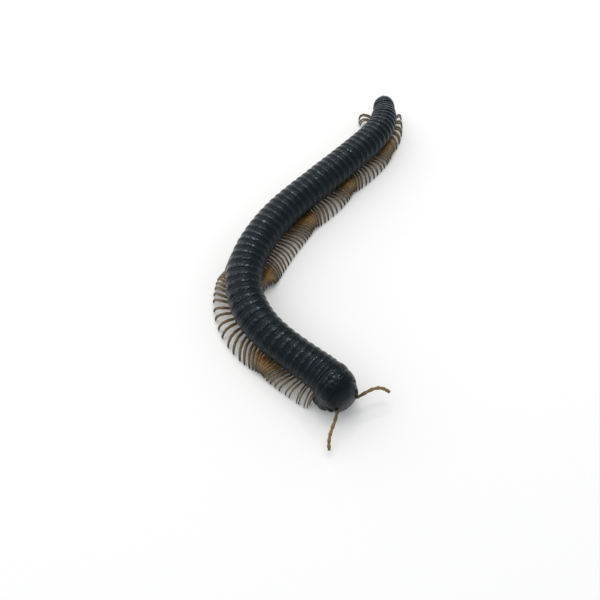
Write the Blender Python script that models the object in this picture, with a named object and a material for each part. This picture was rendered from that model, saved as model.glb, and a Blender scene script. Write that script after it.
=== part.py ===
"""A giant millipede at life size, standing on its legs, which lean in waves along the body.

Lengths are in metres. The body is laid out in three numbers: s is the distance along the body's
middle line, 0 at the rear edge of the collum (the first ring) and growing towards the tail, r is
the distance to the animal's right, and z is the height above the floor. place() turns these into
a point of the model, so a straight body becomes the bent one.
"""
import math
import random

import bmesh
import bpy
import numpy as np
from mathutils import Vector

MM = 0.001
GAP = 0.3 * MM

# The middle line: where it starts, which way it runs there, and its bends, each as the distance
# at which it starts, its length and its turn in degrees.
START = (1.556 * MM, -48.735 * MM)
START_HEADING = 124.0
BENDS = ((-8.0 * MM, 14.0 * MM, 17.0), (12.0 * MM, 41.0 * MM, -61.0), (34.0 * MM, 47.0 * MM, -33.0),
         (92.0 * MM, 91.0 * MM, 78.0), (98.0 * MM, 14.0 * MM, -5.0), (114.0 * MM, 16.0 * MM, 13.0))
# The head is carried a little to the animal's right of that line.
HEAD_SHIFT = 0.35 * MM
HEAD_SHIFT_SPAN = (3.0 * MM, -4.0 * MM)
PATH_STEP = 0.25 * MM
PATH_ENDS = (-14.0 * MM, 145.0 * MM)

# The body's width along its length, as ring number and share of the full diameter.
BODY_DIAMETER = 10.5 * MM
GIRTH = ((1, 1.04), (2, 0.99), (5, 0.965), (8, 0.94), (11, 0.95), (15, 1.0), (44, 1.0),
         (49, 0.98), (53, 0.95), (57, 0.86), (60, 0.73))
BELLY_HEIGHT = 2.3 * MM
FLAT_BELLY = 0.924

# The rings: the first is the collum and the last is the one before the telson.
RING_COUNT = 60
PITCH = ((2, 0.95), (6, 2.05), (9, 2.45), (18, 2.7), (24, 2.4), (48, 2.4), (60, 1.52))
RING_SIDES = 16
GROOVE_SHARE = 0.955
EDGE_AT = 0.88
TRUNK_ENDS = (4, 16, 27, 38, 47, 60)

# The legs: one pair on each of the first rings behind the collum, then two, and none at the end.
FIRST_DOUBLE_RING = 5
LAST_LEG_RING = 58
LEG_SEATS = (0.21, 0.67)
ONE_LEG_SEAT = 0.55
# By ring: how far the feet stand from the middle line in millimetres, how far the last legs trail
# how much nearer the feet stand on the left, on the inside of the bend, and how much wider the
# last ones stand on the right.
REACH = ((2, 5.8), (4, 7.3), (9, 8.4), (15, 8.9), (20, 9.2), (28, 9.1), (36, 8.7), (43, 7.6), (52, 7.4),
         (58, 6.6))
TAIL_LEAN = ((52, 0.0), (58.7, 3.9))
TUCK = ((3, 0.78), (9, 0.74), (13, 0.6), (19, 0.56), (21.5, 1.0))
SPREAD = ((20, 1.0), (22.5, 0.84), (30, 0.8), (40, 0.85), (50, 1.0), (54, 0.9), (56.5, 0.95), (57.5, 1.2))
# A leg's way, as share of its reach, height in millimetres, share of its lean and thickness.
LEG_PATH = ((0.13, 3.6, 0.0, 1.0), (0.5, 3.7, 0.4, 0.95), (0.84, 2.6, 0.85, 0.75), (1.0, -0.3, 1.0, 0.45))
LEG_RADIUS = 0.45 * MM
LEG_SIZE = ((2, 0.8), (6, 1.0), (46, 1.0), (58, 0.8))
# Where along the body the feet draw together, and how the legs there are lifted and drawn in. By
# ring, how near the two feet of a ring stand together.
BUNCHES = (-7.0 * MM, 17.0 * MM, 45.5 * MM, 75.5 * MM, 95.5 * MM, 117.5 * MM, 139.0 * MM)
WAVE_LEAN = 0.135
WAVE_LIFT = 0.9 * MM
WAVE_REACH = 0.07
PAIRING = ((8, 0.8), (11, 0.0), (53, 0.0), (55, 0.8))
PAIR_SEAT = 0.44
LEG_JITTER = 0.08 * MM
FRONT_LIMIT = 0.65 * MM
SEED = 7

# The collum and the head, in millimetres forward of the collum's rear edge. The collum is a profile
# of (forward, share of the girth), and the head a row of ellipses as (forward, height of the
# middle, half width, half height).
COLLUM_PROFILE = ((5.0, 0.88), (4.4, 0.945), (2.6, 1.0), (1.2, 0.99), (0.15, 0.96))
COLLUM_BELLY = 0.97
COLLUM_SQUARENESS = 0.25
COLLUM_FLARE = 0.2
HEAD_SECTIONS = ((5.3, 7.3, 4.6, 4.8), (5.8, 7.05, 4.5, 4.75), (6.5, 6.6, 4.2, 4.5), (7.1, 6.1, 3.7, 4.0),
                 (7.6, 5.6, 2.9, 3.3), (7.85, 5.2, 1.7, 2.1))
HEAD_SIDES = 16
HEAD_TAPER = 0.1

# Rounded pieces on the head as (forward, right, height) of the middle and half sizes that way.
EYE = ((6.65, 3.45, 7.3), (0.85, 0.6, 0.75))
MANDIBLE = ((6.5, 3.0, 4.4), (1.15, 1.35, 1.3))
CHIN_PLATE = ((6.6, 0.0, 2.8), (1.2, 1.25, 0.8))
LABRUM_NOTCH = ((8.0, 0.0, 2.6), (0.6, 0.55, 0.8))
PIECE_SIDES = 10

ANTENNA_ROOT = (7.4, 2.7, 5.6)
SOCKET_RADIUS = 0.8
ARTICLE_LENGTHS = (1.2, 2.05, 1.95, 1.85, 1.65, 1.4, 0.55)
ANTENNA_RADIUS = 0.47 * MM
ANTENNA_WAIST = 0.68
# Each antenna's way: degrees out from straight ahead, and degrees up, at each article.
LEFT_ANTENNA = ((74, 9), (80, 20), (80, 10), (72, -12), (60, -32), (48, -44), (42, -48))
RIGHT_ANTENNA = ((45, -5), (51, -10), (57, -16), (54, -23), (44, -30), (32, -34), (26, -38))

# The telson closes the body, and two valves close the gut behind it.
TELSON_PROFILE = ((0.15, 0.97), (0.9, 0.97), (1.9, 0.9), (2.8, 0.74), (3.5, 0.53))
VALVE_LENGTH = 1.7 * MM
VALVE_SIDES = 12
VALVE_SHARE = 0.5

SHELL = ("shell_black", (0.016, 0.020, 0.024, 1.0), 0.32)
HORN = ("horn_dark", (0.035, 0.026, 0.020, 1.0), 0.35)
AMBER = ("leg_amber", (0.36, 0.17, 0.045, 1.0), 0.4)
ANTENNA_BROWN = ("antenna_olive", (0.19, 0.12, 0.045, 1.0), 0.45)
EYE_BLACK = ("eye_black", (0.008, 0.008, 0.010, 1.0), 0.12)


def smoothstep(t):
    t = min(1.0, max(0.0, t))
    return t * t * (3 - 2 * t)


def heading_at(s):
    """The direction in which the middle line runs towards the tail, in radians."""
    turned = sum(turn * smoothstep((s - start) / length) for start, length, turn in BENDS)
    return math.radians(START_HEADING + turned)


def integrate_path():
    """Walks the middle line in short steps. START is the point at s = 0."""
    s = np.arange(PATH_ENDS[0], PATH_ENDS[1], PATH_STEP)
    h = np.array([heading_at(v) for v in s])
    x = np.cumsum(np.cos(h)) * PATH_STEP
    y = np.cumsum(np.sin(h)) * PATH_STEP
    x += START[0] - np.interp(0.0, s, x)
    y += START[1] - np.interp(0.0, s, y)
    return s, x, y, h


PATH = integrate_path()


def place(s, r, z):
    """The point at s along the body, r to the animal's right and z above the floor."""
    start, end = HEAD_SHIFT_SPAN
    r += HEAD_SHIFT * smoothstep((s - start) / (end - start))
    h = np.interp(s, PATH[0], PATH[3])
    x = np.interp(s, PATH[0], PATH[1]) - r * math.sin(h)
    y = np.interp(s, PATH[0], PATH[2]) + r * math.cos(h)
    return Vector((x, y, z))


def from_table(table, value):
    return float(np.interp(value, [row[0] for row in table], [row[1] for row in table]))


def ring_starts():
    """Front edge of each ring, from ring 2 on, with the telson's last. The index is the ring's number."""
    starts = [None, None, 0.0]
    for ring in range(2, RING_COUNT + 1):
        starts.append(starts[-1] + from_table(PITCH, ring) * MM)
    return starts


RING_START = ring_starts()


def girth_at(s):
    """Radius of the body at s."""
    ring = np.interp(s, RING_START[2:], range(2, RING_COUNT + 2))
    return from_table(GIRTH, ring if s > 0 else 1) * BODY_DIAMETER / 2


def clear_scene():
    for obj in list(bpy.data.objects):
        bpy.data.objects.remove(obj, do_unlink=True)


def new_collection(name):
    group = bpy.data.collections.new(name)
    bpy.context.scene.collection.children.link(group)
    return group


def make_material(spec):
    name, colour, roughness = spec
    material = bpy.data.materials.new(name)
    material.use_nodes = True
    shader = material.node_tree.nodes["Principled BSDF"]
    shader.inputs["Base Color"].default_value = colour
    shader.inputs["Roughness"].default_value = roughness
    shader.inputs["Metallic"].default_value = 0.0
    return material


def object_from_bmesh(name, bm, materials, group):
    """Closes a bmesh into a named object whose faces point out."""
    bmesh.ops.remove_doubles(bm, verts=bm.verts[:], dist=0.01 * MM)
    bmesh.ops.recalc_face_normals(bm, faces=bm.faces[:])
    mesh = bpy.data.meshes.new(name)
    bm.to_mesh(mesh)
    bm.free()
    for material in materials:
        mesh.materials.append(material)
    obj = bpy.data.objects.new(name, mesh)
    group.objects.link(obj)
    return obj


def turned_body(profile, sides, flat, squareness=1.0, flare=0.0):
    """Turns a profile of (s, radius) round the middle line, flattens the belly and bends it into place.

    With a squareness under 1 the flanks hang straight down before they turn in to the belly,
    and the flare widens them below.
    """
    bm = bmesh.new()
    ends = [(profile[0][0], 0.0), *profile, (profile[-1][0], 0.0)]
    verts = [bm.verts.new((s, 0.0, radius)) for s, radius in ends]
    edges = [bm.edges.new(pair) for pair in zip(verts, verts[1:])]
    bmesh.ops.spin(bm, geom=verts + edges, cent=(0, 0, 0), axis=(1, 0, 0), angle=math.tau,
                   steps=sides, use_merge=True, use_duplicate=False)
    bmesh.ops.remove_doubles(bm, verts=bm.verts[:], dist=0.01 * MM)
    for vert in bm.verts:
        s, r, up = vert.co
        out = math.hypot(r, up)
        if up < 0 and squareness < 1:
            r = math.copysign(out * (abs(r) / out) ** squareness * (1 - flare * up / out), r)
            up = -out * (-up / out) ** squareness
        radius = girth_at(s)
        vert.co = place(s, r, BELLY_HEIGHT + radius + max(up, -flat * radius))
    return bm


def ring_profile(first, last):
    """The outline of a stretch of rings: each rises from its groove and ends in a low step."""
    profile = []
    for ring in range(first, last + 1):
        start = RING_START[ring]
        pitch = RING_START[ring + 1] - start
        lead = GAP - (1 - EDGE_AT) * pitch if ring == first else 0.0
        for share, fullness in ((0.0, GROOVE_SHARE), (EDGE_AT, 1.0)):
            s = start + share * pitch + (lead if share == 0.0 else 0.0)
            profile.append((s, fullness * girth_at(s)))
    return profile


def leg_rows(ring, seat, side, chance):
    """One leg as (point, share of the radius) rows. side is 1 on the animal's right and -1 on its left."""
    start = RING_START[ring]
    root = start + seat * (RING_START[ring + 1] - start)
    here = ring + seat
    waves = np.interp(root, BUNCHES, range(len(BUNCHES)))
    phase = math.tau * waves
    length = BUNCHES[int(waves) + 1] - BUNCHES[int(waves)]
    lean = -WAVE_LEAN * length * math.sin(phase) + chance.uniform(-1, 1) * LEG_JITTER
    if ring >= FIRST_DOUBLE_RING:
        lean += from_table(PAIRING, here) * (PAIR_SEAT - seat) * (RING_START[ring + 1] - start)
    lean = max(lean, FRONT_LIMIT - root) + from_table(TAIL_LEAN, here) * MM
    lift = WAVE_LIFT * max(0.0, math.cos(phase))
    reach = from_table(REACH, here) * MM * (1 - WAVE_REACH * math.cos(phase))
    reach *= from_table(TUCK if side < 0 else SPREAD, here)
    return [(place(root + lean * leaning, side * out * reach, height * MM + lift * leaning), share)
            for out, height, leaning, share in LEG_PATH]


def rod_object(name, rows, radius, resolution, group):
    """A curve through (point, share of the radius) rows, with filled ends."""
    curve = bpy.data.curves.new(name, "CURVE")
    curve.dimensions = "3D"
    curve.bevel_depth = radius
    curve.bevel_resolution = resolution
    curve.use_fill_caps = True
    spline = curve.splines.new("POLY")
    spline.points.add(len(rows) - 1)
    for target, (point, share) in zip(spline.points, rows):
        target.co = (*point, 1.0)
        target.radius = share
    obj = bpy.data.objects.new(name, curve)
    group.objects.link(obj)
    return obj


def curves_to_meshes(curves, materials, material_index, group):
    """Closed meshes from curve objects, which are then removed."""
    bpy.context.view_layer.update()
    graph = bpy.context.evaluated_depsgraph_get()
    made = []
    for curve in curves:
        mesh = bpy.data.meshes.new_from_object(curve.evaluated_get(graph))
        bm = bmesh.new()
        bm.from_mesh(mesh)
        for face in bm.faces:
            face.material_index = material_index
        obj = object_from_bmesh(curve.name + "_mesh", bm, materials, group)
        obj.matrix_world = curve.matrix_world
        made.append(obj)
    for curve in curves:
        bpy.data.objects.remove(curve, do_unlink=True)
    return made


def apply_modifiers(obj):
    bpy.context.view_layer.update()
    graph = bpy.context.evaluated_depsgraph_get()
    mesh = bpy.data.meshes.new_from_object(obj.evaluated_get(graph))
    obj.modifiers.clear()
    obj.data = mesh


def union_with(obj, group, solver="EXACT"):
    """Joins every mesh of a collection to obj, and removes the collection's objects."""
    joining = obj.modifiers.new("join", "BOOLEAN")
    joining.operation = "UNION"
    joining.operand_type = "COLLECTION"
    joining.collection = group
    joining.solver = solver
    apply_modifiers(obj)
    for other in list(group.objects):
        bpy.data.objects.remove(other, do_unlink=True)


def cut_with(obj, cutter, solver="EXACT"):
    cutting = obj.modifiers.new("cut", "BOOLEAN")
    cutting.operation = "DIFFERENCE"
    cutting.object = cutter
    cutting.solver = solver
    apply_modifiers(obj)


def keep_largest(obj):
    """Leaves only the largest closed surface of a mesh."""
    bm = bmesh.new()
    bm.from_mesh(obj.data)
    unseen = set(bm.verts)
    islands = []
    while unseen:
        stack = [unseen.pop()]
        island = set(stack)
        while stack:
            for edge in stack.pop().link_edges:
                for vert in edge.verts:
                    if vert in unseen:
                        unseen.remove(vert)
                        island.add(vert)
                        stack.append(vert)
        islands.append(island)
    islands.sort(key=len)
    loose = [vert for island in islands[:-1] for vert in island]
    if loose:
        bmesh.ops.delete(bm, geom=loose, context="VERTS")
    bm.to_mesh(obj.data)
    bm.free()


def floor_cutter(group):
    """A slab under the floor, which cuts the feet flat."""
    bm = bmesh.new()
    bmesh.ops.create_cube(bm, size=1.0)
    bmesh.ops.scale(bm, vec=(0.3, 0.3, 0.01), verts=bm.verts)
    bmesh.ops.translate(bm, vec=(0, 0, -0.005), verts=bm.verts)
    slab = object_from_bmesh("floor_cutter", bm, [], group)
    slab.hide_render = True
    slab.display_type = "WIRE"
    return slab


def make_trunk(materials, group, helpers, slab):
    """The trunk in lengths of several rings, each with its legs."""
    chance = random.Random(SEED)
    first = 2
    for number, last in enumerate(TRUNK_ENDS, start=1):
        bm = turned_body(ring_profile(first, last), RING_SIDES, FLAT_BELLY)
        trunk = object_from_bmesh(f"trunk_{number}", bm, materials, group)
        curves = []
        for ring in range(first, min(last, LAST_LEG_RING) + 1):
            for seat in LEG_SEATS if ring >= FIRST_DOUBLE_RING else (ONE_LEG_SEAT,):
                for side in (1, -1):
                    rows = leg_rows(ring, seat, side, chance)
                    radius = LEG_RADIUS * from_table(LEG_SIZE, ring)
                    curves.append(rod_object(f"leg_{ring}_{seat}_{side}", rows, radius, 0, helpers))
        curves_to_meshes(curves, materials, 1, helpers)
        union_with(trunk, helpers, "MANIFOLD")
        cut_with(trunk, slab, "MANIFOLD")
        keep_largest(trunk)
        first = last + 1


def head_point(forward, right, height):
    """A point given in millimetres forward of the collum's rear edge, right and up."""
    return place(-forward * MM, right * MM, height * MM)


def rounded(name, piece, side, materials, group, grow=0.0):
    """An ellipsoid on the head; grow makes it larger all round, to cut the seat of another."""
    (forward, right, height), (along, across, upright) = piece
    bm = bmesh.new()
    bmesh.ops.create_uvsphere(bm, u_segments=PIECE_SIDES, v_segments=PIECE_SIDES // 2, radius=1.0)
    for vert in bm.verts:
        x, y, z = vert.co
        vert.co = head_point(forward + x * (along + grow), side * (right + y * (across + grow)),
                             height + z * (upright + grow))
    return object_from_bmesh(name, bm, materials, group)


def antenna_joints(way, side):
    """The joints of one antenna, from its socket to its tip."""
    forward, right, height = ANTENNA_ROOT
    point = head_point(forward, side * right, height)
    ahead = heading_at(-forward * MM) + math.pi
    joints = [point]
    for length, (out, up) in zip(ARTICLE_LENGTHS, way):
        bearing = ahead - side * math.radians(out)
        rise = math.radians(up)
        level = math.cos(rise)
        step = Vector((math.cos(bearing) * level, math.sin(bearing) * level, math.sin(rise)))
        point = point + step * length * MM
        joints.append(point)
    return joints


def make_antenna(name, way, side, material, group, helpers):
    """One antenna: a jointed rod whose articles are narrow at the root and club-shaped at the end."""
    joints = antenna_joints(way, side)
    rows = []
    for start, end in zip(joints, joints[1:]):
        rows.append((start.lerp(end, 0.06), ANTENNA_WAIST))
        rows.append((start.lerp(end, 0.8), 1.0))
    rod = rod_object(name + "_rod", rows, ANTENNA_RADIUS, 1, helpers)
    made = curves_to_meshes([rod], [material], 0, group)[0]
    made.name = name


def make_head(shell, horn, eye, antenna, group, helpers):
    """The head capsule with seats for the eyes, mandibles and chin plate, and the antennae's sockets."""
    bm = bmesh.new()
    loops = []
    for forward, height, half_width, half_height in HEAD_SECTIONS:
        circle = bmesh.ops.create_circle(bm, segments=HEAD_SIDES, radius=1.0)["verts"]
        loops.append(list({edge for vert in circle for edge in vert.link_edges}))
        for vert in circle:
            x, y, _ = vert.co
            wide = half_width * (1 - HEAD_TAPER * y)
            vert.co = head_point(forward, x * wide, height + y * half_height)
    for near, far in zip(loops, loops[1:]):
        bmesh.ops.bridge_loops(bm, edges=near + far)
    bmesh.ops.holes_fill(bm, edges=[edge for edge in bm.edges if edge.is_boundary], sides=0)
    head = object_from_bmesh("head", bm, [shell], group)

    rounded("labrum_notch", LABRUM_NOTCH, 1, [shell], helpers)
    rounded("chin_seat", CHIN_PLATE, 1, [shell], helpers, GAP / MM)
    rounded("chin_plate", CHIN_PLATE, 1, [horn], group)
    for side, word, way in ((1, "right", RIGHT_ANTENNA), (-1, "left", LEFT_ANTENNA)):
        rounded("eye_seat_" + word, EYE, side, [shell], helpers, GAP / MM)
        rounded("eye_" + word, EYE, side, [eye], group)
        rounded("mandible_seat_" + word, MANDIBLE, side, [shell], helpers, GAP / MM)
        rounded("mandible_" + word, MANDIBLE, side, [horn], group)
        socket = (ANTENNA_ROOT, (SOCKET_RADIUS,) * 3)
        rounded("socket_" + word, socket, side, [shell], helpers)
        make_antenna("antenna_" + word, way, side, antenna, group, helpers)
    for cutter in list(helpers.objects):
        cut_with(head, cutter)
        bpy.data.objects.remove(cutter, do_unlink=True)
    keep_largest(head)


def make_collum(shell, group):
    """The collar plate over the back of the head."""
    girth = girth_at(0.0)
    profile = [(-forward * MM, share * girth) for forward, share in COLLUM_PROFILE]
    saddle = turned_body(profile, RING_SIDES, COLLUM_BELLY, COLLUM_SQUARENESS, COLLUM_FLARE)
    object_from_bmesh("collum", saddle, [shell], group)


def make_telson(shell, horn, group):
    """The telson, and the two valves behind it, which meet in an upright slit."""
    start = RING_START[RING_COUNT + 1]
    girth = girth_at(start)
    profile = [(start + back * MM, share * girth) for back, share in TELSON_PROFILE]
    object_from_bmesh("telson", turned_body(profile, RING_SIDES, FLAT_BELLY), [shell], group)
    face = profile[-1][0] + GAP
    for side, word in ((1, "right"), (-1, "left")):
        bm = bmesh.new()
        bmesh.ops.create_uvsphere(bm, u_segments=VALVE_SIDES, v_segments=VALVE_SIDES // 2, radius=1.0)
        bmesh.ops.scale(bm, vec=(VALVE_LENGTH, VALVE_SHARE * girth, VALVE_SHARE * girth), verts=bm.verts)
        for corner, normal in (((0, 0, 0), (1, 0, 0)), ((0, side * GAP / 2, 0), (0, side, 0))):
            geom = bm.verts[:] + bm.edges[:] + bm.faces[:]
            bmesh.ops.bisect_plane(bm, geom=geom, plane_co=corner, plane_no=normal, clear_inner=True)
            bmesh.ops.holes_fill(bm, edges=[edge for edge in bm.edges if edge.is_boundary], sides=0)
        for vert in bm.verts:
            back, right, up = vert.co
            vert.co = place(face + back, right, BELLY_HEIGHT + girth + up)
        object_from_bmesh("valve_" + word, bm, [horn], group)


def main():
    clear_scene()
    group = new_collection("millipede")
    helpers = new_collection("helpers")
    shell = make_material(SHELL)
    horn = make_material(HORN)
    amber = make_material(AMBER)
    antenna = make_material(ANTENNA_BROWN)
    eye = make_material(EYE_BLACK)
    slab = floor_cutter(new_collection("cutters"))
    make_head(shell, horn, eye, antenna, group, helpers)
    make_collum(shell, group)
    make_trunk([shell, amber], group, helpers, slab)
    make_telson(shell, horn, group)


main()
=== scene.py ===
# %% [markdown]
# # A giant millipede, in cells
#
# This scene dresses a life-size millipede. The solids that another program uses for collision are
# loaded first, and every visible piece below is then modelled over them, at the same size and in
# the same place. Read the cells in order: each explains one piece of the animal, and then makes it.

# %% Load the frame
import math
import random

import bmesh
import bpy
import numpy as np
from mathutils import Matrix, Vector
from mathutils.bvhtree import BVHTree


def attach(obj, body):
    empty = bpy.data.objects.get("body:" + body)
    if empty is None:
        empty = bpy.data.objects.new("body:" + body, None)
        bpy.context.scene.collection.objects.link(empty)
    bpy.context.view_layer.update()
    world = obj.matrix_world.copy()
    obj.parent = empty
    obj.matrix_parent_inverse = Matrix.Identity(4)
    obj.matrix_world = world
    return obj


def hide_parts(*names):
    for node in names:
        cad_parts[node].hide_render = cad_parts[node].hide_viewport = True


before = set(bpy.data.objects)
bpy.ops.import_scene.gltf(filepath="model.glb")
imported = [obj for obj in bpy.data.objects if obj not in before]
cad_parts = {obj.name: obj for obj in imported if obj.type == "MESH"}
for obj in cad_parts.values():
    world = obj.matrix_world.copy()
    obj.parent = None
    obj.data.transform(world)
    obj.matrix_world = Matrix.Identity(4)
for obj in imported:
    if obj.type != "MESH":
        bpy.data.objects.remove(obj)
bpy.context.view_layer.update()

MM = 0.001
SIDES = ((1, "right"), (-1, "left"))


# %% [markdown]
# ## The middle line
#
# The animal lies in an S. Modelling bent pieces directly is hard, so every piece is modelled
# straight, in three numbers: s runs along the body from the collar plate towards the tail, r goes
# out to the animal's right and z goes up from the floor. One function then lays a point of the
# straight animal along the bent middle line. A curve with a Curve modifier could do this too, but
# a function keeps the bend in the mesh itself, which is what a texture in object space needs.

# %% The middle line and its bends
START = (1.556 * MM, -48.735 * MM)
START_HEADING = 124.0
# Where each bend starts, how long it is, and by how many degrees it turns the line.
BENDS = ((-8.0 * MM, 14.0 * MM, 17.0), (12.0 * MM, 41.0 * MM, -61.0), (34.0 * MM, 47.0 * MM, -33.0),
         (92.0 * MM, 91.0 * MM, 78.0), (98.0 * MM, 14.0 * MM, -5.0), (114.0 * MM, 16.0 * MM, 13.0))
# The head is held this far to the animal's right: nothing at the first place, all of it at the second.
HEAD_SHIFT = 0.35 * MM
HEAD_SHIFT_SPAN = (3.0 * MM, -4.0 * MM)
PATH_STEP = 0.25 * MM
PATH_ENDS = (-14.0 * MM, 145.0 * MM)


def smoothstep(t):
    """0 up to t = 0, 1 from t = 1 on, and smooth between."""
    t = min(1.0, max(0.0, t))
    return t * t * (3 - 2 * t)


def heading_at(s):
    """The direction in which the middle line runs towards the tail, in radians."""
    turned = sum(turn * smoothstep((s - start) / length) for start, length, turn in BENDS)
    return math.radians(START_HEADING + turned)


def walk_middle_line():
    """Rows of s, x, y and heading along the middle line, summed up in small steps."""
    s = np.arange(PATH_ENDS[0], PATH_ENDS[1], PATH_STEP)
    h = np.array([heading_at(v) for v in s])
    x = np.cumsum(np.cos(h)) * PATH_STEP
    y = np.cumsum(np.sin(h)) * PATH_STEP
    x += START[0] - np.interp(0.0, s, x)
    y += START[1] - np.interp(0.0, s, y)
    return s, x, y, h


PATH = walk_middle_line()


def place(s, r, z):
    """The point at s along the body, r to the animal's right and z above the floor."""
    start, end = HEAD_SHIFT_SPAN
    r += HEAD_SHIFT * smoothstep((s - start) / (end - start))
    h = np.interp(s, PATH[0], PATH[3])
    x = np.interp(s, PATH[0], PATH[1]) - r * math.sin(h)
    y = np.interp(s, PATH[0], PATH[2]) + r * math.cos(h)
    return Vector((x, y, z))


print("points on the middle line:", len(PATH[0]))

# %% [markdown]
# ## The rings' sizes
#
# A millipede's trunk is a row of hard rings. The first is the collar plate behind the head. Real
# rings differ a little in length and width along the body, so small tables say how, and a value
# between two rows is interpolated. That is shorter and steadier than sixty numbers.

# %% Tables of the rings
BODY_DIAMETER = 10.5 * MM
BELLY_HEIGHT = 2.3 * MM
RING_COUNT = 60
FIRST_TRUNK_RING = 2
# Ring, and share of the full thickness.
GIRTH = ((1, 1.04), (2, 0.99), (5, 0.965), (8, 0.94), (11, 0.95), (15, 1.0), (44, 1.0),
         (49, 0.98), (53, 0.95), (57, 0.86), (60, 0.73))
# Ring, and its length in millimetres.
PITCH = ((2, 0.95), (6, 2.05), (9, 2.45), (18, 2.7), (24, 2.4), (48, 2.4), (60, 1.52))
# The last ring of each run of the trunk. A run is one solid.
TRUNK_ENDS = (4, 16, 27, 38, 47, 60)


def from_table(table, value):
    """A value between the rows of a table."""
    return float(np.interp(value, [row[0] for row in table], [row[1] for row in table]))


def ring_starts():
    """Front edge of each ring, from the second on, and of the telson. The index is the ring's number."""
    starts = [None] * FIRST_TRUNK_RING + [0.0]
    for ring in range(FIRST_TRUNK_RING, RING_COUNT + 1):
        starts.append(starts[-1] + from_table(PITCH, ring) * MM)
    return starts


RING_START = ring_starts()


def ring_at(s):
    """The number of the ring at s, plus the share of its length that lies before s."""
    return float(np.interp(s, RING_START[FIRST_TRUNK_RING:], range(FIRST_TRUNK_RING, RING_COUNT + 2)))


def girth_at(s):
    """Radius of the body at s."""
    return from_table(GIRTH, ring_at(s) if s > 0 else 1) * BODY_DIAMETER / 2


def trunk_runs():
    """Each run of the trunk as its number, its first ring and its last."""
    firsts = [FIRST_TRUNK_RING] + [last + 1 for last in TRUNK_ENDS[:-1]]
    return list(zip(range(1, len(TRUNK_ENDS) + 1), firsts, TRUNK_ENDS))


print("length of the rings in mm:", round(RING_START[-1] / MM, 1))

# %% [markdown]
# ## Materials from expressions
#
# A shader can be drawn as a web of nodes, or written as a sum. Here a small class wraps a socket,
# so that `dust * 0.2 + 0.1` adds the Math nodes by itself. Colours don't go through Math nodes,
# which would turn them grey: they are mixed by `blend_colours`.

# %% A socket that can be added and multiplied


class Sock:
    """A shader value with arithmetic."""

    def __init__(self, paint, socket):
        self.paint = paint
        self.socket = socket

    def maths(self, operation, *values):
        return self.paint.node("ShaderNodeMath", {"operation": operation}, values)

    def __add__(self, other):
        return self.maths("ADD", self, other)

    def __sub__(self, other):
        return self.maths("SUBTRACT", self, other)

    def __rsub__(self, other):
        return self.maths("SUBTRACT", other, self)

    def __mul__(self, other):
        return self.maths("MULTIPLY", self, other)

    def sine(self):
        return self.maths("SINE", self)

    def fraction(self):
        return self.maths("FRACT", self)

    def step(self, low, high):
        """0 below low, 1 above high, smooth between."""
        values = {"Value": self, "From Min": low, "From Max": high}
        return self.paint.node("ShaderNodeMapRange", {"interpolation_type": "SMOOTHSTEP"}, values)


# Where a Mix node that mixes colours has its two inputs and its result.
MIX_FIRST, MIX_SECOND, MIX_RESULT = 6, 7, 2
NOISE_ROUGHNESS = 0.55


class Paint:
    """One material, whose nodes are made by calls."""

    def __init__(self, name, **constants):
        self.material = bpy.data.materials.new(name)
        self.material.use_nodes = True
        self.nodes = self.material.node_tree.nodes
        self.links = self.material.node_tree.links
        self.shader = self.nodes["Principled BSDF"]
        for socket, value in constants.items():
            self.shader.inputs[socket.replace("_", " ")].default_value = value

    def feed(self, target, value):
        """Links a socket, or sets a plain value."""
        if isinstance(value, Sock):
            self.links.new(value.socket, target)
        else:
            target.default_value = value

    def node(self, kind, settings, values, output=0):
        """Adds a node. Its settings come first, then the values or links of its sockets."""
        made = self.nodes.new(kind)
        for setting, value in settings.items():
            setattr(made, setting, value)
        pairs = values.items() if isinstance(values, dict) else enumerate(values)
        for key, value in pairs:
            self.feed(made.inputs[key], value)
        return Sock(self, made.outputs[output])

    def place_on_object(self):
        return self.node("ShaderNodeTexCoord", {}, {}, "Object")

    def mapped(self, name, axis):
        """One axis of a piece's own map: how far along it is, or how far round."""
        both = self.node("ShaderNodeUVMap", {"uv_map": name}, {}, "UV")
        return self.node("ShaderNodeSeparateXYZ", {}, {"Vector": both}, axis)

    def noise(self, scale, detail=3.0):
        values = {"Vector": self.place_on_object(), "Scale": scale, "Detail": detail,
                  "Roughness": NOISE_ROUGHNESS}
        return self.node("ShaderNodeTexNoise", {}, values, "Fac")

    def pits(self, scale):
        """Distance to the nearest of many scattered points, for small dents."""
        values = {"Vector": self.place_on_object(), "Scale": scale}
        return self.node("ShaderNodeTexVoronoi", {"feature": "F1"}, values, "Distance")

    def blend_colours(self, factor, first, second):
        made = self.nodes.new("ShaderNodeMix")
        made.data_type = "RGBA"
        self.feed(made.inputs["Factor"], factor)
        self.feed(made.inputs[MIX_FIRST], first)
        self.feed(made.inputs[MIX_SECOND], second)
        return Sock(self, made.outputs[MIX_RESULT])

    def bump(self, height, distance, strength=1.0):
        values = {"Height": height, "Distance": distance, "Strength": strength}
        self.feed(self.shader.inputs["Normal"], self.node("ShaderNodeBump", {}, values, "Normal"))

    def set(self, socket, value):
        self.feed(self.shader.inputs[socket], value)


print("the painter is ready")

# %% [markdown]
# ## The black shell
#
# The rings are hard, black and satin, with a cool blue-grey shine, which the tint of the shader's
# mirror light gives. On the back each ring's rear hoop is polished, as if varnished: a coat lies
# there in patches, so that it catches the lamps in specks and short arcs, and more evenly towards
# the tail. On the flanks very little of it is left. Close up the shell has shallow dents and pin
# pricks, the groove under the lip of the ring ahead is painted grey-black as shade, and the rear
# rim of each ring is a little brown.
# The piece's own map tells the shader where on a ring a point is: the first axis counts rings and
# the second measures from the middle of the back down the flank, in millimetres.

# %% The shell's paint
SHELL_MAP = "shell_map"
SHINE_TINT = (0.76, 0.90, 1.0, 1.0)
RIM_BROWN = (0.014, 0.009, 0.007, 1.0)
# A flat grey-black, painted as shade into the grooves.
GROOVE_SHADE = (0.006, 0.006, 0.006, 1.0)


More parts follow.
